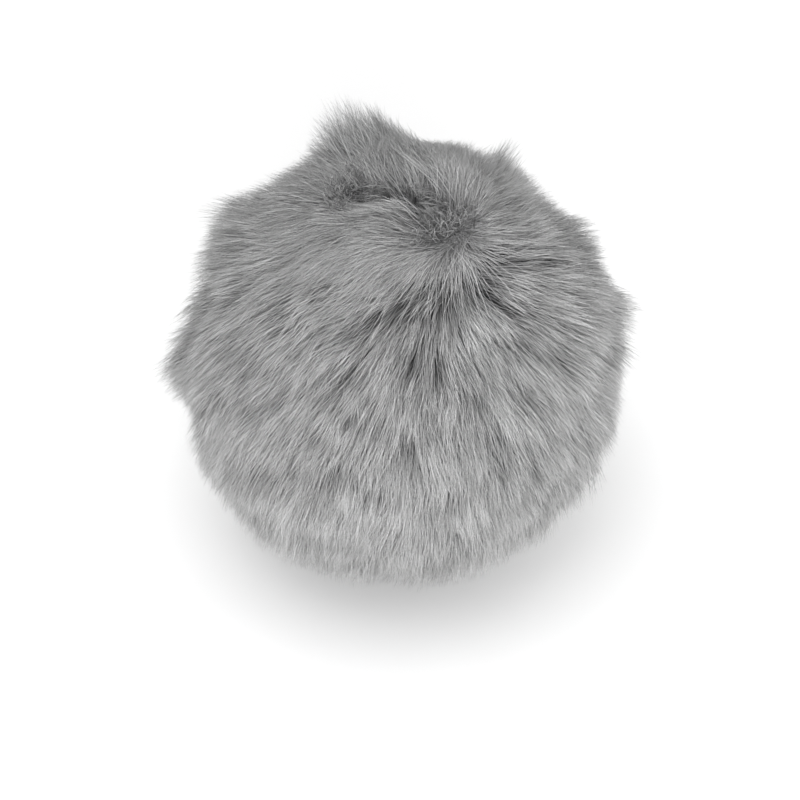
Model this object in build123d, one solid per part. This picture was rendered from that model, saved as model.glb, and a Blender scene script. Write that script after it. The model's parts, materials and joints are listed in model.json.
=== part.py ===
from build123d import *

import os
from math import asin, cos, degrees, radians, sin, sqrt

# Furry slip-on windscreen for a slim microphone: a sewn fur cover over a bored foam ball.
# Millimetres, +Z up. The origin is the middle of the flat patch that the cover rests on,
# and +Z runs along the axis of the microphone bore, out through the elastic mouth.

# ---- Driving dimensions ----

# Foam ball and its bore
foam_radius = 19.5
mic_bore_radius = 6.0
foam_rim_width = 4.4
foam_floor_thickness = 10.0
bore_end_round = 3.0
foam_rim_round = 0.8

# Layers of the cover, from the foam outwards
foam_clearance = 0.3
lining_thickness = 0.7
stitch_gap = 0.5
backing_thickness = 1.0
pile_length = 8.0
settled_depth = 3.0

# Sewn panels
gore_count = 4
lining_panel_count = 2
lining_seam_turn = 45.0

# Elastic mouth
mouth_clearance = 0.4
casing_cloth = 0.4
casing_round = 1.0
elastic_width = 3.0
elastic_thickness = 0.7
elastic_side_clearance = 0.125
elastic_edge_clearance = 0.3
elastic_lap_gap = 0.05
elastic_lap_angle = 60.0
elastic_ramp_angle = 40.0
neck_height = 1.25

# Fur collar that stands up round the mouth
collar_start_angle = 36.0
collar_rise = 5.0
collar_lean_angle = 132.0
collar_lip_rise = 0.5

# Threads
seam_thread_diameter = 0.3
seam_stitch_pitch = 3.0
seam_stitch_width = 2.4
lining_stitch_width = 1.6
seam_end_distance = 3.2
lining_seam_end_distance = 5.0
seam_neck_distance = 2.0
hem_thread_diameter = 0.4
hem_stitch_count = 24
lap_stitch_diameter = 0.3
lap_stitch_columns = 3
lap_stitch_spacing = 1.4
lap_stitch_overhang = 0.05

# ---- Sizes that follow from them ----

lining_inner_radius = foam_radius + foam_clearance
lining_outer_radius = lining_inner_radius + lining_thickness
backing_inner_radius = lining_outer_radius + stitch_gap
backing_outer_radius = backing_inner_radius + backing_thickness
pile_outer_radius = backing_outer_radius + pile_length
centre_z = pile_outer_radius - settled_depth

mouth_inner_radius = mic_bore_radius + mouth_clearance
cavity_inner_radius = mouth_inner_radius + casing_cloth
cavity_width = 2 * elastic_thickness + elastic_lap_gap + 2 * elastic_side_clearance
cavity_outer_radius = cavity_inner_radius + cavity_width
mouth_outer_radius = cavity_outer_radius + casing_cloth

lining_neck_outer_radius = mouth_inner_radius + lining_thickness
backing_neck_inner_radius = mouth_outer_radius - backing_thickness
neck_base_z = centre_z + sqrt(backing_outer_radius**2 - mouth_outer_radius**2)
casing_bottom_z = neck_base_z + neck_height
cavity_height = elastic_width + 2 * elastic_edge_clearance
casing_top_z = casing_bottom_z + cavity_height + 2 * casing_cloth


def polar(radius, angle):
    """Point in the XY plane at this radius and angle in degrees."""
    return (radius * cos(radians(angle)), radius * sin(radians(angle)))


def on_sphere(radius, from_top):
    """Point of the X and Z half-plane on a ball of this radius, by its angle from the top."""
    return (radius * sin(radians(from_top)), centre_z + radius * cos(radians(from_top)))


def height_on_sphere(radius, distance_from_axis):
    """Height of the upper half of a ball where it is this far from the axis."""
    return centre_z + sqrt(radius**2 - distance_from_axis**2)


def profile_face(lines):
    """Face in the XZ plane from edges drawn as (distance from axis, height)."""
    return Plane.XZ * make_face(lines)


def panel(face, count, index, turn=0.0):
    """One of several equal panels that a face sweeps out about the axis."""
    panel_angle = 360.0 / count
    return Rot(0, 0, turn + index * panel_angle) * revolve(face, Axis.Z, panel_angle)


# ---- Panels ----


def shell_with_neck(inner_radius, outer_radius, neck_inner_radius, neck_outer_radius):
    """Face of a cloth ball that turns up into a straight neck under the casing."""
    inner_top = (neck_inner_radius, height_on_sphere(inner_radius, neck_inner_radius))
    outer_top = (neck_outer_radius, height_on_sphere(outer_radius, neck_outer_radius))
    return profile_face(
        [
            Line((0, centre_z - outer_radius), (0, centre_z - inner_radius)),
            ThreePointArc((0, centre_z - inner_radius), (inner_radius, centre_z), inner_top),
            Line(inner_top, (neck_inner_radius, casing_bottom_z)),
            Line((neck_inner_radius, casing_bottom_z), (neck_outer_radius, casing_bottom_z)),
            Line((neck_outer_radius, casing_bottom_z), outer_top),
            ThreePointArc(outer_top, (outer_radius, centre_z), (0, centre_z - outer_radius)),
        ]
    )


def pile_face():
    """Face of the fur's standing pile: a flattened ball with a raised collar at the mouth."""
    flat_radius = sqrt(pile_outer_radius**2 - centre_z**2)
    collar_start = on_sphere(pile_outer_radius, collar_start_angle)
    start_direction = (-cos(radians(collar_start_angle)), sin(radians(collar_start_angle)))
    collar_top = (
        collar_start[0] + collar_rise * cos(radians(collar_lean_angle)),
        collar_start[1] + collar_rise * sin(radians(collar_lean_angle)),
    )
    lip = (mouth_outer_radius, collar_top[1] + collar_lip_rise)
    neck_base = (mouth_outer_radius, neck_base_z)
    backing_bottom = (0, centre_z - backing_outer_radius)
    flare = TangentArc(collar_start, collar_top, tangent=start_direction)
    crest = TangentArc(collar_top, lip, tangent=flare % 1)
    return profile_face(
        [
            Line((0, 0), (flat_radius, 0)),
            ThreePointArc((flat_radius, 0), (pile_outer_radius, centre_z), collar_start),
            flare,
            crest,
            Line(lip, neck_base),
            ThreePointArc(neck_base, (backing_outer_radius, centre_z), backing_bottom),
            Line(backing_bottom, (0, 0)),
        ]
    )


# ---- Mouth ----


def casing():
    """Cloth strip folded over the elastic, with its two edges on the lining and the backing."""
    middle = Pos((mouth_inner_radius + mouth_outer_radius) / 2, (casing_bottom_z + casing_top_z) / 2)
    strip = middle * Rectangle(cavity_width + 2 * casing_cloth, cavity_height + 2 * casing_cloth)
    strip = fillet(strip.vertices().sort_by(Axis.Y)[-2:], casing_round)
    cavity = middle * Rectangle(cavity_width, cavity_height)
    cavity = fillet(cavity.vertices().sort_by(Axis.Y)[-2:], casing_round - casing_cloth)
    slot_centre = (lining_neck_outer_radius + backing_neck_inner_radius) / 2
    slot_width = backing_neck_inner_radius - lining_neck_outer_radius
    slot = Pos(slot_centre, casing_bottom_z) * Rectangle(slot_width, 3 * casing_cloth)
    return revolve(Plane.XZ * (strip - cavity - slot), Axis.Z, 360)


def elastic_strip():
    """Flat elastic sewn into a ring: it runs once round, steps out and laps over its start."""
    inner = cavity_inner_radius + elastic_side_clearance
    outer = inner + elastic_thickness
    lap_inner = outer + elastic_lap_gap
    lap_outer = lap_inner + elastic_thickness
    ramp_start = 360 - elastic_ramp_angle
    ramp_middle = 360 - elastic_ramp_angle / 2
    outline = [
        CenterArc((0, 0), inner, 0, ramp_start),
        ThreePointArc(
            polar(inner, ramp_start),
            polar((inner + lap_inner) / 2, ramp_middle),
            polar(lap_inner, 360),
        ),
        CenterArc((0, 0), lap_inner, 0, elastic_lap_angle),
        Line(polar(lap_inner, elastic_lap_angle), polar(lap_outer, elastic_lap_angle)),
        CenterArc((0, 0), lap_outer, 0, elastic_lap_angle),
        ThreePointArc(
            polar(outer, ramp_start),
            polar((outer + lap_outer) / 2, ramp_middle),
            polar(lap_outer, 360),
        ),
        CenterArc((0, 0), outer, 0, ramp_start),
        Line(polar(inner, 0), polar(outer, 0)),
    ]
    bottom = casing_bottom_z + casing_cloth + elastic_edge_clearance
    return Pos(0, 0, bottom) * extrude(make_face(outline), elastic_width)


def lap_stitches():
    """Short stitches that pass through both layers of the elastic's lap."""
    start = cavity_inner_radius + elastic_side_clearance - lap_stitch_overhang
    length = 2 * elastic_thickness + elastic_lap_gap + 2 * lap_stitch_overhang
    middle_z = casing_bottom_z + casing_cloth + cavity_height / 2
    column_angle = elastic_lap_angle / (lap_stitch_columns + 1)
    stitches = []
    for column in range(lap_stitch_columns):
        for side in (-1, 1):
            rod = Cylinder(lap_stitch_diameter / 2, length, rotation=(0, 90, 0))
            placed = Pos(start + length / 2, 0, middle_z + side * lap_stitch_spacing / 2) * rod
            stitches.append(Rot(0, 0, (column + 1) * column_angle) * placed)
    return stitches


# ---- Threads ----


def thread_along(points, diameter, closed=False):
    """Round thread through these points."""
    path = Polyline(*points, close=closed)
    start = Plane(origin=path @ 0, z_dir=path % 0)
    return sweep(start * Circle(diameter / 2), path=path, transition=Transition.RIGHT)


def seam_thread(stitch_width, end_distance):
    """Overcast thread in the gap between the cloths, along one seam in the XZ half-plane."""
    radius = (lining_outer_radius + backing_inner_radius) / 2
    bottom_angle = 180 - degrees(end_distance / radius)
    top_angle = degrees(asin(mouth_outer_radius / radius) + seam_neck_distance / radius)
    stitches = round(radians(bottom_angle - top_angle) * radius / seam_stitch_pitch)
    half_width_angle = degrees(stitch_width / 2 / radius)
    points = []
    for step in range(2 * stitches + 1):
        from_top = bottom_angle + (top_angle - bottom_angle) * step / (2 * stitches)
        side = half_width_angle if step % 2 else -half_width_angle
        distance, height = on_sphere(radius * cos(radians(side)), from_top)
        points.append((distance, radius * sin(radians(side)), height))
    return thread_along(points, seam_thread_diameter)


def hem_thread():
    """Zigzag thread that closes the slot between lining, backing and casing."""
    inner = lining_neck_outer_radius + hem_thread_diameter / 2
    outer = backing_neck_inner_radius - hem_thread_diameter / 2
    height = casing_bottom_z - hem_thread_diameter
    points = []
    for step in range(2 * hem_stitch_count):
        radius = outer if step % 2 else inner
        points.append((*polar(radius, 180 * step / hem_stitch_count), height))
    return thread_along(points, hem_thread_diameter, closed=True)


# ---- Foam ----


def foam_ball():
    """Foam ball with a flat top and a blind bore for the microphone's barrel."""
    rim_radius = mic_bore_radius + foam_rim_width
    rim_z = height_on_sphere(foam_radius, rim_radius)
    bottom_z = centre_z - foam_radius
    floor_z = bottom_z + foam_floor_thickness
    outline = [
        Line((0, bottom_z), (0, floor_z)),
        Line((0, floor_z), (mic_bore_radius, floor_z)),
        Line((mic_bore_radius, floor_z), (mic_bore_radius, rim_z)),
        Line((mic_bore_radius, rim_z), (rim_radius, rim_z)),
        ThreePointArc((rim_radius, rim_z), (foam_radius, centre_z), (0, bottom_z)),
    ]
    section = make_face(outline)
    for corner, round_radius in (
        ((mic_bore_radius, floor_z), bore_end_round),
        ((rim_radius, rim_z), foam_rim_round),
    ):
        section = fillet(section.vertices().sort_by_distance(corner)[0], round_radius)
    return revolve(Plane.XZ * section, Axis.Z, 360)


# ---- The whole windscreen, one entry for each piece ----


def pieces():
    """Every piece by name, where it lies in the windscreen."""
    backing = shell_with_neck(
        backing_inner_radius, backing_outer_radius, backing_neck_inner_radius, mouth_outer_radius
    )
    lining = shell_with_neck(
        lining_inner_radius, lining_outer_radius, mouth_inner_radius, lining_neck_outer_radius
    )
    pile = pile_face()
    gore_thread = seam_thread(seam_stitch_width, seam_end_distance)
    lining_thread = seam_thread(lining_stitch_width, lining_seam_end_distance)
    lap = lap_stitches()

    found = {}
    for index in range(gore_count):
        name = index + 1
        found[f"gore_backing_{name}"] = panel(backing, gore_count, index)
        found[f"gore_pile_{name}"] = panel(pile, gore_count, index)
        found[f"gore_seam_thread_{name}"] = Rot(0, 0, 360 * index / gore_count) * gore_thread
    for index in range(lining_panel_count):
        name = index + 1
        seam_angle = lining_seam_turn + 360 * index / lining_panel_count
        found[f"lining_panel_{name}"] = panel(lining, lining_panel_count, index, lining_seam_turn)
        found[f"lining_seam_thread_{name}"] = Rot(0, 0, seam_angle) * lining_thread
    found["mouth_casing"] = casing()
    found["mouth_hem_thread"] = hem_thread()
    found["elastic_band"] = elastic_strip() - lap
    found["elastic_lap_stitches"] = Compound(children=lap)
    found["foam_ball"] = foam_ball()
    return found


os.makedirs("parts", exist_ok=True)
for node, shape in pieces().items():
    export_step(shape, f"parts/{node}.step")
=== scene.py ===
import json
import math

import bpy
import numpy as np
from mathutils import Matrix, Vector, noise


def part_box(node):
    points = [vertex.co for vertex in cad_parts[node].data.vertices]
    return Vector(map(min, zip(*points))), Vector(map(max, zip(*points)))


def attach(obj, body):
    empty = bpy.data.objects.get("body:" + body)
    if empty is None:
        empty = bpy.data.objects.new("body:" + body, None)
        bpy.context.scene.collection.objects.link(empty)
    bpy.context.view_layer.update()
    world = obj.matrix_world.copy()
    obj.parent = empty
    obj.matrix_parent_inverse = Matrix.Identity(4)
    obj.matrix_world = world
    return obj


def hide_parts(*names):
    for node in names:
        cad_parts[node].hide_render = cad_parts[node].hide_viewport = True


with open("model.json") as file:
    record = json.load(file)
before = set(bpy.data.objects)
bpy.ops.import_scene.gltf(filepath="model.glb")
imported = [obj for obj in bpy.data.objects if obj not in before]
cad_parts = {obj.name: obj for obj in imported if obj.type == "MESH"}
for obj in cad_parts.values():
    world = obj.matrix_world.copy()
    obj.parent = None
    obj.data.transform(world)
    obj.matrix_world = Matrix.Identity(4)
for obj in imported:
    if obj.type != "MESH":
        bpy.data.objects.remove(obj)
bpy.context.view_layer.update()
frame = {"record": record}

# Furry windscreen, mouth up, on a pale floor. Metres, in the frame of the CAD model.
# The fur is real strands, grown from the knit backing in locks that part at the mouth.

MM = 0.001
RNG = np.random.default_rng(7)

# ---- Places and sizes, read from the CAD model ----

foam_low, foam_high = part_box("foam_ball")
backing_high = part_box("gore_backing_1")[1]
pile_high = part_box("gore_pile_1")[1]
lining_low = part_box("lining_panel_1")[0]
casing_low, casing_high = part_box("mouth_casing")

FOAM_RADIUS = foam_high[0]
CENTRE = np.array([0.0, 0.0, foam_low[2] + FOAM_RADIUS])
BACKING_RADIUS = backing_high[0]
PILE_RADIUS = pile_high[0]
MOUTH_RADIUS = casing_high[0]
MOUTH_CLEARANCE = 0.4 * MM
BORE = next(m for m in frame["record"]["mounts"] if m["name"] == "mic_bore")
BORE_RADIUS = BORE["dims"]["r_mm"] * MM
CASING_INNER = BORE_RADIUS + MOUTH_CLEARANCE
CASING_TOP = casing_high[2]

# ---- Camera, light and floor ----

CAMERA_ELEVATION = math.radians(45)
LENS_MM = 100.0
SENSOR_MM = 36.0
VIEW_WIDTH = 101.9 * MM
AIM_BELOW_CENTRE = 5.2 * MM
FLOOR_HALF_WIDTH = 3.0


def make_camera():
    """Camera in front of the object and above it, a little below whose middle it aims."""
    back = Vector((0, -math.cos(CAMERA_ELEVATION), math.sin(CAMERA_ELEVATION)))
    up = Vector((0, math.sin(CAMERA_ELEVATION), math.cos(CAMERA_ELEVATION)))
    data = bpy.data.cameras.new("camera")
    data.lens = LENS_MM
    data.sensor_width = SENSOR_MM
    data.clip_start = 0.01
    camera = bpy.data.objects.new("camera", data)
    aim = Vector(CENTRE) - up * AIM_BELOW_CENTRE
    camera.location = aim + back * (VIEW_WIDTH * LENS_MM / SENSOR_MM)
    camera.rotation_euler = (-back).to_track_quat("-Z", "Y").to_euler()
    bpy.context.collection.objects.link(camera)
    bpy.context.scene.camera = camera


def make_area_light(name, azimuth, elevation, distance, size, watts):
    """Square soft light that faces the middle of the object."""
    a, e = math.radians(azimuth), math.radians(elevation)
    back = Vector((math.sin(a) * math.cos(e), -math.cos(a) * math.cos(e), math.sin(e)))
    data = bpy.data.lights.new(name, "AREA")
    data.size = size
    data.energy = watts
    light = bpy.data.objects.new(name, data)
    light.location = Vector(CENTRE) + back * distance
    light.rotation_euler = (-back).to_track_quat("-Z", "Y").to_euler()
    bpy.context.collection.objects.link(light)


def make_stage():
    """Pale floor, white surroundings and two soft lights."""
    world = bpy.data.worlds.new("studio")
    world.use_nodes = True
    background = world.node_tree.nodes["Background"]
    background.inputs["Color"].default_value = (1, 1, 1, 1)
    background.inputs["Strength"].default_value = 0.92
    bpy.context.scene.world = world
    bpy.context.scene.view_settings.view_transform = "Standard"
    mesh = bpy.data.meshes.new("floor")
    half = FLOOR_HALF_WIDTH
    corners = [(-half, -half, 0), (half, -half, 0), (half, half, 0), (-half, half, 0)]
    mesh.from_pydata(corners, [], [(0, 1, 2, 3)])
    floor = bpy.data.objects.new("floor", mesh)
    bpy.context.collection.objects.link(floor)
    material, shader = new_material("floor_paper", 0.9)
    shader.inputs["Base Color"].default_value = (0.93, 0.93, 0.93, 1)
    mesh.materials.append(material)
    make_area_light("key_light", azimuth=4, elevation=18, distance=0.6, size=0.3, watts=2.6)
    make_area_light("top_light", azimuth=-30, elevation=76, distance=0.7, size=0.4, watts=1.1)


# ---- Materials ----


def new_material(name, roughness):
    """Material with one Principled shader, and that shader."""
    material = bpy.data.materials.new(name)
    material.use_nodes = True
    shader = material.node_tree.nodes["Principled BSDF"]
    shader.inputs["Roughness"].default_value = roughness
    shader.inputs["Specular IOR Level"].default_value = 0.3
    return material, shader


def add_node(material, kind, **settings):
    """Node of this kind, with its settings."""
    node = material.node_tree.nodes.new(kind)
    for name, value in settings.items():
        setattr(node, name, value)
    return node


def fur_material():
    """Grey acrylic pile: each strand has its own tone, painted dark at its root as painted shade
    among the strands, and light at its tip.
    """
    material, shader = new_material("fur", 0.6)
    links = material.node_tree.links
    shader.inputs["Sheen Weight"].default_value = 0.25
    shader.inputs["Sheen Roughness"].default_value = 0.5
    along = add_node(material, "ShaderNodeAttribute", attribute_name="along")
    tone = add_node(material, "ShaderNodeAttribute", attribute_name="tone")
    # Along each strand: the dark root end is painted shade among the strands, not the fibre's own
    # colour.
    shade_ramp = add_node(material, "ShaderNodeValToRGB")
    shade_ramp.color_ramp.elements[0].color = (0.06, 0.06, 0.062, 1)
    shade_ramp.color_ramp.elements[1].color = (0.60, 0.60, 0.60, 1)
    middle = shade_ramp.color_ramp.elements.new(0.45)
    middle.color = (0.28, 0.28, 0.282, 1)
    links.new(along.outputs["Fac"], shade_ramp.inputs["Fac"])
    spread = add_node(material, "ShaderNodeMapRange")
    spread.inputs["To Min"].default_value = 0.22
    spread.inputs["To Max"].default_value = 1.55
    links.new(tone.outputs["Fac"], spread.inputs["Value"])
    tint = add_node(material, "ShaderNodeVectorMath", operation="SCALE")
    links.new(shade_ramp.outputs["Color"], tint.inputs[0])
    links.new(spread.outputs["Result"], tint.inputs["Scale"])
    links.new(tint.outputs["Vector"], shader.inputs["Base Color"])
    gloss = add_node(material, "ShaderNodeMapRange")
    gloss.inputs["To Min"].default_value = 0.85
    gloss.inputs["To Max"].default_value = 0.55
    links.new(along.outputs["Fac"], gloss.inputs["Value"])
    links.new(gloss.outputs["Result"], shader.inputs["Roughness"])
    return material


# ---- Geometry helpers ----


def unit(vectors):
    """The same vectors, one long."""
    return vectors / np.maximum(np.linalg.norm(vectors, axis=-1, keepdims=True), 1e-12)


def direction(azimuth, from_top):
    """Unit vector by its azimuth and its angle from +Z, in degrees."""
    a, t = np.radians(azimuth), np.radians(from_top)
    return np.stack([np.sin(t) * np.cos(a), np.sin(t) * np.sin(a), np.cos(t) + 0 * a], axis=-1)


def spiral_directions(count, from_top, to_top):
    """Even directions between two angles from +Z, on a golden spiral."""
    index = np.arange(count) + 0.5
    high, low = math.cos(math.radians(from_top)), math.cos(math.radians(to_top))
    z = high + (low - high) * index / count
    turn = index * math.pi * (3 - math.sqrt(5))
    flat = np.sqrt(1 - z**2)
    return np.stack([flat * np.cos(turn), flat * np.sin(turn), z], axis=-1)


def tangent_part(vectors, normals):
    """The part of each vector that lies across its normal, one long."""
    return unit(vectors - normals * np.sum(vectors * normals, axis=-1, keepdims=True))


def turned(tangents, normals, angles):
    """Tangents turned about their normals."""
    side = np.cross(normals, tangents)
    return tangents * np.cos(angles)[:, None] + side * np.sin(angles)[:, None]


def nearest(points, centres):
    """Index of the centre nearest to each point."""
    found = np.empty(len(points), np.int64)
    step = 4000
    turned_centres = centres.T.astype(np.float32)
    half_square = (turned_centres**2).sum(axis=0) / 2
    for start in range(0, len(points), step):
        closeness = points[start : start + step].astype(np.float32) @ turned_centres - half_square
        found[start : start + step] = closeness.argmax(axis=1)
    return found


# ---- Pieces ----


def add_attributes(mesh, **values):
    """Float values on a mesh's points, by name."""
    for label, array in values.items():
        attribute = mesh.attributes.new(label, "FLOAT", "POINT")
        attribute.data.foreach_set("value", np.asarray(array, np.float32).reshape(-1))


def add_piece(name, mesh, material, body, slot, *nodes):
    """Object of this mesh, which rides on a body and stands for these CAD nodes."""
    mesh.materials.append(material)
    piece = bpy.data.objects.new(name, mesh)
    bpy.context.collection.objects.link(piece)
    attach(piece, body)
    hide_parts(*nodes)
    return piece


# ---- Shape of the coat ----

# The fur parts round a bent loop over the mouth, with a hollow at each end of it and a ridge
# of fur between. Azimuth round the mouth, and the place in plan, in mm, its fur lies away from.
PARTING = (
    (70, 4.4, 0.6),
    (105, 0.6, 0.8),
    (135, -2.0, 0.8),
    (170, -3.8, -0.8),
    (195, -2.4, -2.6),
    (215, 3.2, -1.0),
    (245, 3.6, -4.8),
    (285, 5.6, -7.0),
    (330, 7.2, -5.8),
    (370, 7.6, -3.2),
    (400, 6.4, -1.2),
    (430, 4.4, 0.6),
)
PART_HEIGHT = CASING_TOP
PART_SPREAD = 0.6 * MM
# Middles of the two hollows in plan, in mm.
HOLLOWS = ((-2.2, -1.0), (5.8, -4.6))
HOLLOW_RADIUS = 2.2 * MM
HOLLOW_DEPTH = 3.0 * MM

REST_RADIUS = PILE_RADIUS - 1.1 * MM
FLOOR_SOFTNESS = 2.2 * MM

# Tufts and hollows of the coat: azimuth, angle from +Z, width in degrees, height in mm.
LOBES = (
    (172, 8, 6, -4.5),
    (322, 16, 8, -7.5),
    (309, 5, 4, 1.6),
    (241, 11, 6, 1.5),
    (20, 15, 7, 2.5),
    (307, 33, 5, -2.0),
    (306, 43, 4, -1.2),
    (123, 35, 6, 3.6),
    (109, 34, 6, 3.4),
    (97, 36, 5, 2.4),
    (86, 38, 5, 1.6),
    (130, 51, 8, -11.5),
    (153, 61, 7, 1.8),
    (169, 79, 10, -9.5),
    (182, 92, 6, 2.2),
    (192, 103, 7, -3.0),
    (265, 138, 14, -1.2),
    (353, 97, 8, -0.8),
    (8, 80, 8, 1.2),
    (23, 68, 8, 1.2),
    (36, 58, 8, -4.0),
    (52, 48, 6, 2.4),
    (73, 45, 9, -9.0),
)
WAVE_COUNT = 14
WAVE_VECTORS = RNG.normal(0, 13, (2, WAVE_COUNT, 3))
WAVE_PHASES = RNG.uniform(0, 2 * math.pi, (2, WAVE_COUNT))
CLUMP_HEIGHT = 0.4 * MM
CLUMP_TURN = 0.11


def parting_for(points):
    """For each place in plan, the place on the parting line that its fur lies away from."""
    azimuths, x, y = np.array(PARTING).T
    azimuth = (np.degrees(np.arctan2(points[:, 1], points[:, 0])) - azimuths[0]) % 360 + azimuths[0]
    return np.stack([np.interp(azimuth, azimuths, v * MM) for v in (x, y)], axis=1)


def waviness(directions, kind):
    """Smooth random field over the ball, about 1 high, that makes the coat's broad clumps."""
    waves = np.cos(directions @ WAVE_VECTORS[kind].T + WAVE_PHASES[kind])
    return waves.sum(axis=-1) / math.sqrt(WAVE_COUNT / 2)


def coat_flow(directions):
    """The way the fur lies at each direction: away from the parting line, over the ball."""
    plan = directions[:, :2] * BACKING_RADIUS
    place = parting_for(plan)
    parting = np.concatenate([place, np.full((len(place), 1), PART_HEIGHT)], axis=1)
    flow = tangent_part(directions - unit(parting - CENTRE), directions)
    return turned(flow, directions, CLUMP_TURN * waviness(directions, 0))


def coat_radius(directions):
    """Distance of the coat's outer surface from the centre."""
    radius = REST_RADIUS + CLUMP_HEIGHT * waviness(directions, 1)
    for azimuth, from_top, width, height in LOBES:
        apart = np.degrees(np.arccos(np.clip(directions @ direction(azimuth, from_top), -1, 1)))
        radius += height * MM * np.exp(-((apart / width) ** 2))
    return radius


def lifted(points):
    """Points pressed up softly, so that nothing goes below the floor."""
    z = points[..., 2]
    pressed = FLOOR_SOFTNESS * np.exp((z - FLOOR_SOFTNESS) / FLOOR_SOFTNESS)
    points[..., 2] = np.where(z < FLOOR_SOFTNESS, pressed, z)
    return points


# ---- Strands ----

STRAND_COUNT = 160000
LOCK_COUNT = 2300
MOUTH_STRAND_COUNT = 16000
MOUTH_LOCK_COUNT = 200
NEST_STRAND_COUNT = 4500
FRIZZ = 0.17 * MM
LAY_ANGLE = math.radians(17)
ROOT_SCATTER = 0.012
LOCK_SCATTER = 0.02
TIP_SCATTER = 0.02
LOWER_LAYER = 0.4
# How a strand bends over: share of its way along the coat, and share of the coat's height there.
STRAND_BEND = ((0.22, 0.42), (0.58, 0.76), (1.0, 1.05))
NODES = np.array([0.0, 0.3, 0.55, 0.78, 1.0])
RADII = np.array([0.041, 0.041, 0.037, 0.028, 0.0]) * MM
SIDES = 3
TONES = 64

# Strands of the mouth start from its gathered top, which sags to the middle, and down its side.
MOUTH_SAG = 1.5 * MM
MOUTH_SIDE_DEPTH = 5.0 * MM
MOUTH_SIDE_SHARE = 1.45
MOUTH_ROOT_INSET = 0.4 * MM
MOUTH_NODES = [0.0, 0.4, 0.72, 1.0]
RIM_REACH = 2 * MM

# Short crossing strands that close the mouth: some on top of the casing, the rest inside it.
NEST_TOP_SHARE = 0.35
NEST_DEPTH = 3.0 * MM
NEST_SHORTEST = 2.5 * MM
NEST_LONGEST = 5.0 * MM
# Nest strands get a tone below the coat's middle of 0.5: painted shade in the hollow of the mouth.
NEST_SHADE_TONE = 0.36


def bezier(p0, p1, p2, p3, places):
    """Points of many cubic curves at these places along them, as curve by place by axis."""
    t = np.asarray(places)[None, :, None]
    a, b, c, d = (p[:, None, :] for p in (p0, p1, p2, p3))
    return (1 - t) ** 3 * a + 3 * (1 - t) ** 2 * t * b + 3 * (1 - t) * t**2 * c + t**3 * d


def swept(roots, flow, angle):
    """Directions that lie an angle on from their roots, along the flow."""
    return roots * np.cos(angle)[:, None] + flow * np.sin(angle)[:, None]


class Locks:
    """Locks of hair: each has its own turn, lay, height and tone, and draws its tips together."""

    def __init__(self, middles, flow, turn_degrees, height_spread):
        count = len(middles)
        self.turn = RNG.normal(0, math.radians(turn_degrees), count)
        self.lay = LAY_ANGLE * RNG.uniform(0.75, 1.2, count)
        self.height = RNG.normal(0, height_spread, count)
        self.tone = RNG.normal(0, 0.08, count)
        self.tip = swept(middles, turned(flow, middles, self.turn), self.lay)


def strand_tips(roots, flow, locks, lock, stray, gather, shortest, longest):
    """Where each strand's tip points, and how high it stands in the coat."""
    count = len(roots)
    flow = turned(flow, roots, locks.turn[lock] + RNG.normal(0, stray, count))
    lay = locks.lay[lock] * RNG.uniform(shortest, longest, count)
    tip = unit(swept(roots, flow, lay) * (1 - gather) + locks.tip[lock] * gather)
    tip = unit(tip + RNG.normal(0, TIP_SCATTER, tip.shape))
    level = 1 + locks.height[lock] - LOWER_LAYER * RNG.uniform(0, 1, count) ** 2
    return tip, level


def curved_strands(starts, roots, tip, level, bases, places):
    """Strands that rise from their starts, bend over and lie along the coat."""
    heading = tangent_part(tip - roots, roots)
    reach = np.arccos(np.clip(np.sum(tip * roots, axis=1), -1, 1))
    steps = []
    for share, rise in STRAND_BEND:
        way = swept(roots, heading, reach * share)
        height = (coat_radius(way) - bases) * rise * level
        steps.append(way * (bases + height)[:, None])
    return bezier(starts, *steps, places)


def frizzed(paths, size):
    """Paths with a slight random kink at each node, more towards the tip."""
    nodes = paths.shape[1]
    return paths + RNG.normal(0, size, paths.shape) * np.linspace(0, 1, nodes)[None, :, None]


def strand_tones(locks, lock):
    """Tone of each strand from 0 to 1, alike within a lock."""
    return 0.5 + locks.tone[lock] + RNG.normal(0, 0.24, len(lock))


def body_strands():
    """Strands that grow from the backing's ball: paths, tones and root directions."""
    neck_angle = math.degrees(math.asin(MOUTH_RADIUS / BACKING_RADIUS))
    roots = spiral_directions(STRAND_COUNT, neck_angle, 180)
    roots = unit(roots + RNG.normal(0, ROOT_SCATTER, roots.shape))
    middles = spiral_directions(LOCK_COUNT, neck_angle, 180)
    middles = unit(middles + RNG.normal(0, LOCK_SCATTER, middles.shape))
    locks = Locks(middles, coat_flow(middles), turn_degrees=9.0, height_spread=0.06)
    lock = nearest(roots, middles)
    tip, level = strand_tips(
        roots, coat_flow(roots), locks, lock, stray=0.2, gather=0.45, shortest=0.65, longest=1.3
    )
    bases = np.full(len(roots), BACKING_RADIUS - 0.1 * MM)
    paths = curved_strands(roots * bases[:, None], roots, tip, level, bases, NODES)
    return frizzed(paths, FRIZZ), strand_tones(locks, lock), roots


def around_mouth(azimuth):
    """Unit vectors in plan at these azimuths."""
    return np.stack([np.cos(azimuth), np.sin(azimuth)], axis=1)


def mouth_azimuths(count):
    """Azimuths round the mouth, more of them where the parting line is far from the rim."""
    azimuth = np.linspace(0, 2 * math.pi, 721)[:-1]
    around = around_mouth(azimuth)
    spread = np.linalg.norm(MOUTH_RADIUS * around - parting_for(around), axis=1) + 3 * MM
    return RNG.choice(azimuth, count, p=spread / spread.sum()) + RNG.uniform(0, 0.01, count)


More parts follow.
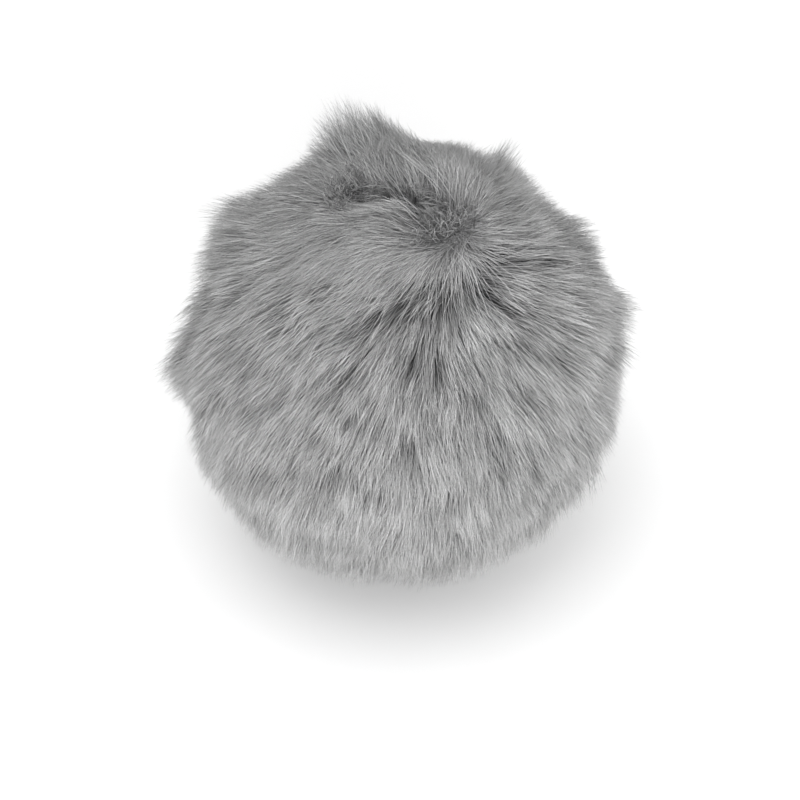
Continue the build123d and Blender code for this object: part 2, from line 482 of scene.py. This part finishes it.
def mouth_height(places):
    """Height above the centre of the fur's starts over the mouth, for places in plan."""
    inside = np.clip(np.linalg.norm(places, axis=1) / CASING_INNER, 0, 1)
    height = CASING_TOP - CENTRE[2] + 0.1 * MM - MOUTH_SAG * (1 - inside**2)
    for hollow in HOLLOWS:
        away = np.linalg.norm(places - np.array(hollow) * MM, axis=1) / HOLLOW_RADIUS
        height -= HOLLOW_DEPTH * np.exp(-(away**2)) * (1 - inside**8)
    return height


def mouth_strands():
    """Strands that grow from the gathered mouth, lean over it and part along the line."""
    count = MOUTH_STRAND_COUNT
    around = around_mouth(mouth_azimuths(count))
    openness = np.minimum(RNG.uniform(0, MOUTH_SIDE_SHARE, count), 1.0)
    drop = np.where(openness < 1, 0.0, RNG.uniform(0, MOUTH_SIDE_DEPTH, count))
    rim = around * MOUTH_RADIUS
    part = parting_for(rim) + RNG.normal(0, PART_SPREAD, (count, 2))
    emerge = part + (rim - part) * openness[:, None]
    height = (mouth_height(emerge) - drop)[:, None]
    emerge = np.concatenate([emerge, height], axis=1)
    inset = MOUTH_ROOT_INSET
    rooted = np.concatenate([around * (MOUTH_RADIUS - inset), height - inset], axis=1)

    roots = unit(emerge)
    outward = rim - part
    near_rim = np.exp(-np.linalg.norm(outward, axis=1, keepdims=True) / RIM_REACH)
    outward = unit(outward) + 2 * near_rim * around
    flow = tangent_part(np.concatenate([outward, np.zeros((count, 1))], axis=1), roots)
    spot = np.concatenate([around, openness[:, None] + 0.2 * drop[:, None] / MM], axis=1)
    middles = RNG.choice(count, MOUTH_LOCK_COUNT, replace=False)
    locks = Locks(roots[middles], flow[middles], turn_degrees=16.0, height_spread=0.05)
    lock = nearest(spot, spot[middles])
    tip, level = strand_tips(
        roots, flow, locks, lock, stray=0.35, gather=0.4, shortest=0.3, longest=1.5
    )
    bases = np.linalg.norm(emerge, axis=1)
    curve = curved_strands(emerge, roots, tip, level, bases, MOUTH_NODES)
    paths = np.concatenate([rooted[:, None], curve], axis=1)
    return frizzed(paths, FRIZZ), strand_tones(locks, lock), roots


def nest_strands():
    """Short strands that cross each other over the gathered mouth and close it."""
    count = NEST_STRAND_COUNT
    azimuth = RNG.uniform(0, 2 * math.pi, count)
    around = np.stack([np.cos(azimuth), np.sin(azimuth), np.zeros(count)], axis=1)
    side = np.stack([-np.sin(azimuth), np.cos(azimuth), np.zeros(count)], axis=1)
    up = np.array([0.0, 0.0, 1.0])
    share = RNG.uniform(0, 1, (count, 1))
    on_top = RNG.uniform(0, 1, (count, 1)) < NEST_TOP_SHARE
    reach = np.where(on_top, CASING_INNER + share * (MOUTH_RADIUS - CASING_INNER), CASING_INNER)
    level = CASING_TOP - CENTRE[2] - np.where(on_top, 0, NEST_DEPTH * share)
    start = around * reach + up * level
    inward = np.where(on_top, RNG.normal(0, 0.8, (count, 1)), 1.0)
    lift = np.where(on_top, 0.9, 0.2)
    heading = unit(side * RNG.normal(0, 0.7, (count, 1)) - around * inward + up * lift)
    length = RNG.uniform(NEST_SHORTEST, NEST_LONGEST, (count, 1))
    length *= np.where(on_top, 0.5, 1.0)
    bow = RNG.normal(0, 0.06, (count, 3)) * length
    first, second = start + heading * length / 3 + bow, start + heading * length * 0.7 + bow
    paths = bezier(start, first, second, start + heading * length, NODES)
    # The darker nest tone is painted shade in the mouth.
    tone = NEST_SHADE_TONE + RNG.normal(0, 0.2, count)
    return frizzed(paths, FRIZZ), tone, unit(start)


def strand_points(paths):
    """Points of each strand: a ring of its sides at each node but the last, then its tip."""
    count, nodes = paths.shape[:2]
    along = np.gradient(paths, axis=1)
    reference = unit(RNG.normal(0, 1, (count, 3)))
    across = unit(np.cross(along, reference[:, None, :]))
    other = unit(np.cross(along, across))
    ring_size = (nodes - 1) * SIDES
    points = np.empty((count, ring_size + 1, 3))
    for side in range(SIDES):
        angle = 2 * math.pi * side / SIDES
        offset = across * math.cos(angle) + other * math.sin(angle)
        edge = paths + offset * RADII[None, :, None]
        points[:, side:ring_size:SIDES] = edge[:, :-1]
    points[:, ring_size] = paths[:, -1]
    return points


def strand_faces(rings):
    """Triangles of one strand, by its points."""
    faces = []
    for ring in range(rings - 1):
        for side in range(SIDES):
            a, b = ring * SIDES + side, ring * SIDES + (side + 1) % SIDES
            faces += [(a, b, b + SIDES), (a, b + SIDES, a + SIDES)]
    last, tip = (rings - 1) * SIDES, rings * SIDES
    for side in range(SIDES):
        faces.append((last + side, last + (side + 1) % SIDES, tip))
    return np.array(faces)


def strand_mesh(name, paths, tone):
    """Mesh of tapered three-sided strands along these paths.

    The bake map has a column for each tone, so that strands of one tone can share it.
    """
    points = strand_points(paths)
    count, per_strand = points.shape[:2]
    rings = len(NODES) - 1
    start = np.arange(count)[:, None, None] * per_strand
    corners = (strand_faces(rings)[None] + start).reshape(-1)
    triangles = len(corners) // 3

    mesh = bpy.data.meshes.new(name)
    mesh.vertices.add(count * per_strand)
    mesh.vertices.foreach_set("co", points.reshape(-1))
    mesh.loops.add(len(corners))
    mesh.loops.foreach_set("vertex_index", corners)
    mesh.polygons.add(triangles)
    mesh.polygons.foreach_set("loop_start", np.arange(0, len(corners), 3))
    mesh.polygons.foreach_set("use_smooth", np.ones(triangles, bool))
    mesh.update()

    along = np.tile(np.append(np.repeat(NODES[:rings], SIDES), 1.0), count)
    tone_step = np.repeat(np.clip(np.floor(tone * TONES), 0, TONES - 1), per_strand)
    add_attributes(mesh, along=along, tone=(tone_step + 0.5) / TONES)
    place = np.append(np.tile(np.arange(SIDES) / (SIDES - 1), rings), 0.5)
    across_map = (tone_step + 0.15 + 0.7 * np.tile(place, count)) / TONES
    map_points = np.stack([across_map, 0.02 + 0.96 * along], axis=1)
    layer = mesh.uv_layers.new(name="OFBake", do_init=False)
    layer.uv.foreach_set("vector", map_points[corners].astype(np.float32).reshape(-1))
    return mesh


# Pieces of the coat on each gore, by their strands' angles from +Z.
TIERS = (
    ("collar", 0, 36),
    ("crown", 36, 63.5),
    ("shoulder", 63.5, 85),
    ("side", 85, 106),
    ("flank", 106, 129.5),
    ("base", 129.5, 181),
)


def make_fur():
    """The coat as one piece for each tier of each gore."""
    material = fur_material()
    grown = zip(body_strands(), mouth_strands(), nest_strands())
    paths, tone, roots = (np.concatenate(parts) for parts in grown)
    paths = lifted(paths + CENTRE)
    azimuth = np.degrees(np.arctan2(roots[:, 1], roots[:, 0])) % 360
    from_top = np.degrees(np.arccos(np.clip(roots[:, 2], -1, 1)))
    for gore in range(4):
        for tier, low, high in TIERS:
            mine = (azimuth // 90 == gore) & (from_top >= low) & (from_top < high)
            name = f"fur_{tier}_{gore + 1}"
            mesh = strand_mesh(name, paths[mine], tone[mine])
            add_piece(name, mesh, material, "fur_cover", "fur_pile", f"gore_pile_{gore + 1}")


# ---- Cloth and foam under the fur ----

THREAD_NODES = [f"gore_seam_thread_{n}" for n in (1, 2, 3, 4)]
THREAD_NODES += [f"lining_seam_thread_{n}" for n in (1, 2)]
THREAD_NODES += ["mouth_hem_thread", "elastic_lap_stitches"]
LINING_SEAM_TURN = 45
# Room that each cloth has in the CAD model, and its thinner mesh, which leaves room for gathers.
BACKING_CLOTH = 1.0 * MM
BACKING_MESH = 0.5 * MM
LINING_CLOTH = 0.7 * MM
LINING_MESH = 0.4 * MM
CASING_CLOTH = 0.4 * MM
CASING_ROUND = 1.0 * MM
GATHER_COUNT = 40
BACKING_GATHER = 0.25 * MM
LINING_GATHER = 0.12 * MM
CASING_GATHER = 0.22 * MM
PORE_SIZE = 0.95 * MM
PORE_DEPTH = 0.24 * MM
PORE_EDGE = 0.35
FOAM_VOXEL = 0.36 * MM

# Colour of each material in its low parts, darkened as painted shade, and on its raised parts.
BACKING_COLOURS = ((0.1, 0.1, 0.102), (0.34, 0.34, 0.345))
LINING_COLOURS = ((0.015, 0.015, 0.016), (0.2, 0.2, 0.205))
CASING_COLOURS = ((0.04, 0.04, 0.041), (0.16, 0.16, 0.163))
THREAD_COLOURS = ((0.16, 0.16, 0.165), (0.5, 0.5, 0.51))
ELASTIC_COLOURS = ((0.3, 0.3, 0.31), (0.72, 0.72, 0.73))
FOAM_COLOURS = ((0.012, 0.012, 0.013), (0.085, 0.085, 0.09))


def node_maker(material):
    """Short way to add maths nodes that take numbers or other nodes' outputs."""
    links = material.node_tree.links

    def maths(operation, *values):
        node = add_node(material, "ShaderNodeMath", operation=operation)
        for socket, value in zip(node.inputs, values):
            if isinstance(value, (int, float)):
                socket.default_value = value
            else:
                links.new(value, socket)
        return node.outputs[0]

    return maths


def paint_shade_and_bump(material, shader, height, shade_to_top_colours, depth):
    """Colour by height from the first of the two colours to the second, so that low parts are
    darker as painted shade, and a bump to match.
    """
    links = material.node_tree.links
    # Low parts are coloured darker: painted shade in the hollows.
    shade_ramp = add_node(material, "ShaderNodeValToRGB")
    shade_ramp.color_ramp.elements[0].color = (*shade_to_top_colours[0], 1)
    shade_ramp.color_ramp.elements[1].color = (*shade_to_top_colours[1], 1)
    links.new(height, shade_ramp.inputs["Fac"])
    links.new(shade_ramp.outputs["Color"], shader.inputs["Base Color"])
    bump = add_node(material, "ShaderNodeBump")
    bump.inputs["Distance"].default_value = depth
    bump.inputs["Strength"].default_value = 0.9
    links.new(height, bump.inputs["Height"])
    links.new(bump.outputs["Normal"], shader.inputs["Normal"])
    rough = add_node(material, "ShaderNodeMapRange")
    rough.inputs["To Min"].default_value = 0.95
    rough.inputs["To Max"].default_value = 0.7
    links.new(height, rough.inputs["Value"])
    links.new(rough.outputs["Result"], shader.inputs["Roughness"])


def knit_material(name, wale, course, shade_to_top_colours):
    """Jersey knit: rows of V stitches, from the cloth's own lengths across and along."""
    material, shader = new_material(name, 0.85)
    shader.inputs["Sheen Weight"].default_value = 0.3
    maths = node_maker(material)
    across = add_node(material, "ShaderNodeAttribute", attribute_name="across").outputs["Fac"]
    along = add_node(material, "ShaderNodeAttribute", attribute_name="along").outputs["Fac"]
    place = maths("FRACT", maths("DIVIDE", across, wale))
    off_middle = maths("ABSOLUTE", maths("MULTIPLY_ADD", place, 2.0, -1.0))
    turns = maths("ADD", maths("DIVIDE", along, course), maths("MULTIPLY", off_middle, 0.6))
    wave = maths("SINE", maths("MULTIPLY", turns, 2 * math.pi))
    leg = maths("SUBTRACT", 1.0, maths("POWER", off_middle, 5.0))
    spine = maths("SMOOTH_MIN", maths("MULTIPLY", off_middle, 3.0), 1.0, 0.3)
    loop = maths("MULTIPLY", maths("MULTIPLY", leg, spine), maths("MULTIPLY_ADD", wave, 0.5, 0.5))
    fuzz = add_node(material, "ShaderNodeTexNoise")
    fuzz.inputs["Scale"].default_value = 9000
    height = maths("MULTIPLY_ADD", fuzz.outputs["Fac"], 0.25, maths("MULTIPLY", loop, 0.8))
    # Low stitch parts take the dark colour: painted shade between the loops; the fuzz is random
    # tone.
    paint_shade_and_bump(material, shader, height, shade_to_top_colours, 0.15 * MM)
    return material


def thread_material():
    """Twisted polyester thread with its plies showing as slanting ridges."""
    material, shader = new_material("twisted_thread", 0.5)
    shader.inputs["Sheen Weight"].default_value = 0.2
    links = material.node_tree.links
    place = add_node(material, "ShaderNodeTexCoord")
    plies = add_node(material, "ShaderNodeTexWave", bands_direction="DIAGONAL")
    plies.inputs["Scale"].default_value = 1400
    plies.inputs["Distortion"].default_value = 2.0
    links.new(place.outputs["Object"], plies.inputs["Vector"])
    # Grooves between the plies take the dark colour: painted shade.
    paint_shade_and_bump(material, shader, plies.outputs["Fac"], THREAD_COLOURS, 0.05 * MM)
    return material


def elastic_material():
    """Woven elastic: rubber cores as ribs round the band, covered by fine cross threads."""
    material, shader = new_material("woven_elastic", 0.7)
    shader.inputs["Sheen Weight"].default_value = 0.15
    maths = node_maker(material)
    links = material.node_tree.links
    place = add_node(material, "ShaderNodeTexCoord")
    axes = add_node(material, "ShaderNodeSeparateXYZ")
    links.new(place.outputs["Object"], axes.inputs["Vector"])
    x, y, z = axes.outputs
    ribs = maths("ABSOLUTE", maths("SINE", maths("MULTIPLY", z, math.pi / (0.5 * MM))))
    turn = maths("MULTIPLY", maths("ARCTAN2", y, x), 70)
    lean = maths("MULTIPLY", z, 2 * math.pi / (1.0 * MM))
    weft = maths("MULTIPLY_ADD", maths("SINE", maths("ADD", turn, lean)), 0.5, 0.5)
    height = maths("MULTIPLY_ADD", weft, 0.35, maths("MULTIPLY", ribs, 0.65))
    # Grooves between the ribs and the cross threads take the dark colour: painted shade.
    paint_shade_and_bump(material, shader, height, ELASTIC_COLOURS, 0.2 * MM)
    return material


def foam_material():
    """Charcoal open-cell foam: fine cells between the pores that the mesh has."""
    material, shader = new_material("open_cell_foam", 0.95)
    shader.inputs["Sheen Weight"].default_value = 0.1
    maths = node_maker(material)
    links = material.node_tree.links
    place = add_node(material, "ShaderNodeTexCoord")
    cells = add_node(material, "ShaderNodeTexVoronoi", feature="DISTANCE_TO_EDGE")
    cells.inputs["Scale"].default_value = 2600
    links.new(place.outputs["Object"], cells.inputs["Vector"])
    walls = maths("MULTIPLY", cells.outputs["Distance"], 3.0)
    pore = add_node(material, "ShaderNodeAttribute", attribute_name="pore").outputs["Fac"]
    # Cell middles and the pores that the mesh sinks take the dark colour: painted shade in them.
    height = maths("SUBTRACT", maths("SUBTRACT", 1.0, walls), maths("MULTIPLY", pore, 0.5))
    paint_shade_and_bump(material, shader, height, FOAM_COLOURS, 0.2 * MM)
    return material


def spun(profile, angles, lift):
    """Grid of points: a profile of (distance from axis, height) turned to each angle."""
    r, z = profile.T
    distance = r[None, :] + lift[0]
    height = z[None, :] + lift[1]
    c, s = np.cos(angles)[:, None], np.sin(angles)[:, None]
    return np.stack([distance * c, distance * s, height + 0 * c], axis=-1)


def cloth_faces(rows, columns, whole):
    """Faces of both sides of a cloth and of its edges. Each side is a grid of points."""
    other = rows * columns
    faces = []
    for row in range(rows if whole else rows - 1):
        for column in range(columns - 1):
            a, b = row * columns + column, (row + 1) % rows * columns + column
            faces.append((a, b, b + 1, a + 1))
            faces.append((other + a, other + a + 1, other + b + 1, other + b))
        for column, flip in ((0, 1), (columns - 1, -1)):
            a, b = row * columns + column, (row + 1) % rows * columns + column
            faces.append((a, other + a, other + b, b)[::flip])
    if not whole:
        for row, flip in ((0, -1), (rows - 1, 1)):
            for column in range(columns - 1):
                a = row * columns + column
                faces.append((a, other + a, other + a + 1, a + 1)[::flip])
    return faces


def cloth_mesh(name, profile, start, end, thickness, gather):
    """Thin closed cloth of a profile spun from one angle to another, with gathers in it.

    The profile is the cloth's middle. gather gives the height of the folds along it.
    """
    whole = end - start == 360
    steps = max(24, int((end - start) / 1.25))
    angles = np.radians(np.linspace(start, end, steps + 1))
    slope = unit(np.gradient(profile, axis=0))
    normal = np.stack([slope[:, 1], -slope[:, 0]], axis=1)
    fold = 0.5 + 0.5 * np.cos(GATHER_COUNT * angles + 0.9 * np.sin(7 * angles))
    height = gather[None, :] * fold[:, None]
    sides = []
    for shift in (thickness / 2, -thickness / 2):
        lift = [(height + shift) * normal[:, axis][None, :] for axis in (0, 1)]
        sides.append(spun(profile, angles, lift))
    if whole:
        sides = [side[:-1] for side in sides]
    rows, columns = sides[0].shape[:2]
    points = np.concatenate([side.reshape(-1, 3) for side in sides])
    faces = cloth_faces(rows, columns, whole)
    mesh = bpy.data.meshes.new(name)
    mesh.from_pydata(points, [], faces)
    mesh.polygons.foreach_set("use_smooth", np.ones(len(faces), bool))
    length = np.append(0, np.cumsum(np.linalg.norm(np.diff(profile, axis=0), axis=1)))
    widest = profile[:, 0].max()
    across = np.repeat(angles[:rows] * widest, columns)
    add_attributes(mesh, across=np.tile(across, 2), along=np.tile(length, 2 * rows))
    return mesh


def ball_profile(radius, neck_radius, neck_top):
    """Middle of a cloth ball that turns up into a straight neck, from the bottom to the top."""
    neck_angle = math.asin(neck_radius / radius)
    angle = np.linspace(math.pi - 0.02, neck_angle, 56)
    ball = np.stack([radius * np.sin(angle), CENTRE[2] + radius * np.cos(angle)], axis=1)
    neck = np.linspace(ball[-1, 1], neck_top, 5)[1:]
    return np.concatenate([ball, np.stack([0 * neck + neck_radius, neck], axis=1)])


def neck_gather(profile, neck_radius, height):
    """Folds that rise towards the neck and die out over the ball."""
    upper = profile[:, 1] > CENTRE[2]
    reach = np.clip(2.2 - profile[:, 0] / neck_radius, 0, 1) * upper
    return height * reach


def make_backing():
    """Knit backing that the pile grows from, one panel for each gore."""
    material = knit_material("knit_backing", 0.9 * MM, 0.75 * MM, BACKING_COLOURS)
    neck_radius = MOUTH_RADIUS - BACKING_CLOTH / 2
    profile = ball_profile(BACKING_RADIUS - BACKING_CLOTH / 2, neck_radius, casing_low[2])
    for index in range(4):
        name = f"backing_{index + 1}"
        gather = neck_gather(profile, neck_radius, BACKING_GATHER)
        mesh = cloth_mesh(name, profile, 90 * index, 90 * index + 90, BACKING_MESH, gather)
        node = f"gore_backing_{index + 1}"
        piece = add_piece(name, mesh, material, "fur_cover", "knit_backing", node)


def make_lining():
    """Fine mesh lining that touches the foam, in two panels."""
    material = knit_material("mesh_lining", 1.3 * MM, 1.1 * MM, LINING_COLOURS)
    radius = CENTRE[2] - lining_low[2] - LINING_CLOTH / 2
    neck_radius = CASING_INNER + LINING_CLOTH / 2
    profile = ball_profile(radius, neck_radius, casing_low[2])
    for index in range(2):
        name = f"lining_{index + 1}"
        start = LINING_SEAM_TURN + 180 * index
        gather = neck_gather(profile, neck_radius, LINING_GATHER)
        mesh = cloth_mesh(name, profile, start, start + 180, LINING_MESH, gather)
        node = f"lining_panel_{index + 1}"
        piece = add_piece(name, mesh, material, "fur_cover", "mesh_lining", node)


def casing_profile():
    """Middle of the folded casing cloth: up its outside, over its top and down its inside."""
    half = CASING_CLOTH / 2
    inner, outer = CASING_INNER + half, MOUTH_RADIUS - half
    bottom, top = casing_low[2] + half, casing_high[2] - half
    bend = CASING_ROUND - half
    turn = [(bend * math.cos(a), bend * math.sin(a)) for a in np.linspace(0, math.pi / 2, 6)]
    rise = np.linspace(bottom, top - bend, 12)
    points = [(inner + 0.7 * MM, bottom), (inner + 0.35 * MM, bottom)]
    points += [(inner, z) for z in rise]
    points += [(inner + bend - c, top - bend + s) for c, s in turn[1:]]
    points += [(r, top) for r in np.linspace(inner + bend, outer - bend, 5)[1:-1]]
    points += [(outer - bend + s, top - bend + c) for c, s in turn[:-1]]
    points += [(outer, z) for z in rise[::-1]]
    points += [(outer - 0.35 * MM, bottom), (outer - 0.7 * MM, bottom)]
    return np.array(points)[::-1]


def make_casing():
    """Cloth strip folded over the elastic, gathered by it."""
    material = knit_material("casing_knit", 0.8 * MM, 0.7 * MM, CASING_COLOURS)
    profile = casing_profile()
    gather = np.full(len(profile), CASING_GATHER)
    gather[:4] = gather[-4:] = 0.0
    mesh = cloth_mesh("casing", profile, 0, 360, CASING_CLOTH, gather)
    piece = add_piece("casing", mesh, material, "fur_cover", "knit_backing", "mouth_casing")


def make_foam():
    """Foam ball with its bore, with a surface of cut open cells."""
    source = bpy.data.objects["foam_ball"]
    fine = bpy.data.objects.new("foam_source", source.data.copy())
    bpy.context.collection.objects.link(fine)
    remesh = fine.modifiers.new("remesh", "REMESH")
    remesh.mode = "VOXEL"
    remesh.voxel_size = FOAM_VOXEL
    shape = fine.evaluated_get(bpy.context.evaluated_depsgraph_get())
    mesh = bpy.data.meshes.new_from_object(shape)
    bpy.data.objects.remove(fine)
    mesh.name = "foam"
    mesh.materials.clear()
    count = len(mesh.vertices)
    points, normals = np.empty(count * 3), np.empty(count * 3)
    mesh.vertices.foreach_get("co", points)
    mesh.vertices.foreach_get("normal", normals)
    points, normals = points.reshape(-1, 3), normals.reshape(-1, 3)
    near = [noise.voronoi(Vector(place))[0][:2] for place in points / PORE_SIZE]
    first, second = np.array(near).T
    pore = np.clip((second - first) / PORE_EDGE, 0, 1)
    points -= normals * (pore * PORE_DEPTH)[:, None]
    mesh.vertices.foreach_set("co", points.reshape(-1))
    mesh.update()
    add_attributes(mesh, pore=pore)
    piece = add_piece("foam", mesh, foam_material(), "foam_insert", "open_cell_foam", "foam_ball")


def dress_cad_nodes():
    """Materials for the CAD nodes whose shape is right as it is."""
    thread = thread_material()
    dressed = [(name, thread) for name in THREAD_NODES]
    dressed.append(("elastic_band", elastic_material()))
    for name, material in dressed:
        for place in bpy.data.objects[name].material_slots:
            place.material = material


make_camera()
make_stage()
make_fur()
make_backing()
make_lining()
make_casing()
make_foam()
dress_cad_nodes()
